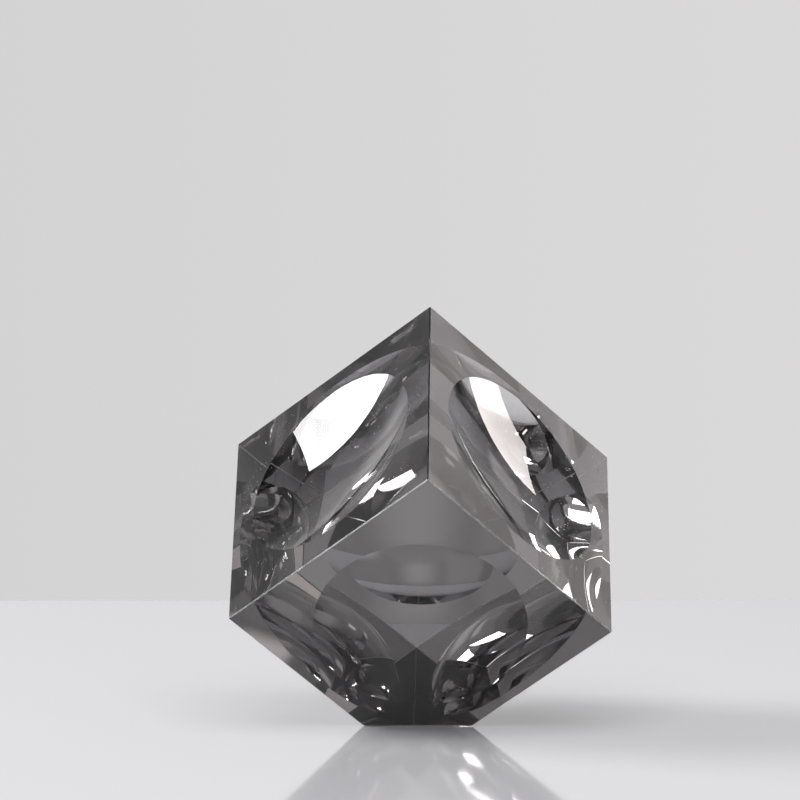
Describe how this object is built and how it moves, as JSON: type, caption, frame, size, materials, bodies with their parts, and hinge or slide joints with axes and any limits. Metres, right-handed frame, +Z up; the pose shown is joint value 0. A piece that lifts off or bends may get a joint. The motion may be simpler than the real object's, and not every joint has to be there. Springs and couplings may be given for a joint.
{
  "type": "crystal cube ornament",
  "caption": "Solid smoked crystal cube standing on a ground-off corner, with a shallow round concave hollow polished into each face.",
  "frame": {"origin": "centre of the flat standing facet, on the surface that the ornament stands on", "axes": "+Z up, out of the surface and through the block; the nearest upper corner of the cube points to -Y, and the top of the block leans 2.1 degrees to +X"},
  "size_m": [0.0765, 0.087, 0.0835],
  "materials": {
    "smoked_crystal": "clear smoky grey optical glass, polished all over"
  },
  "bodies": {
    "root": {"crystal_block": "smoked_crystal"}
  },
  "joints": []
}
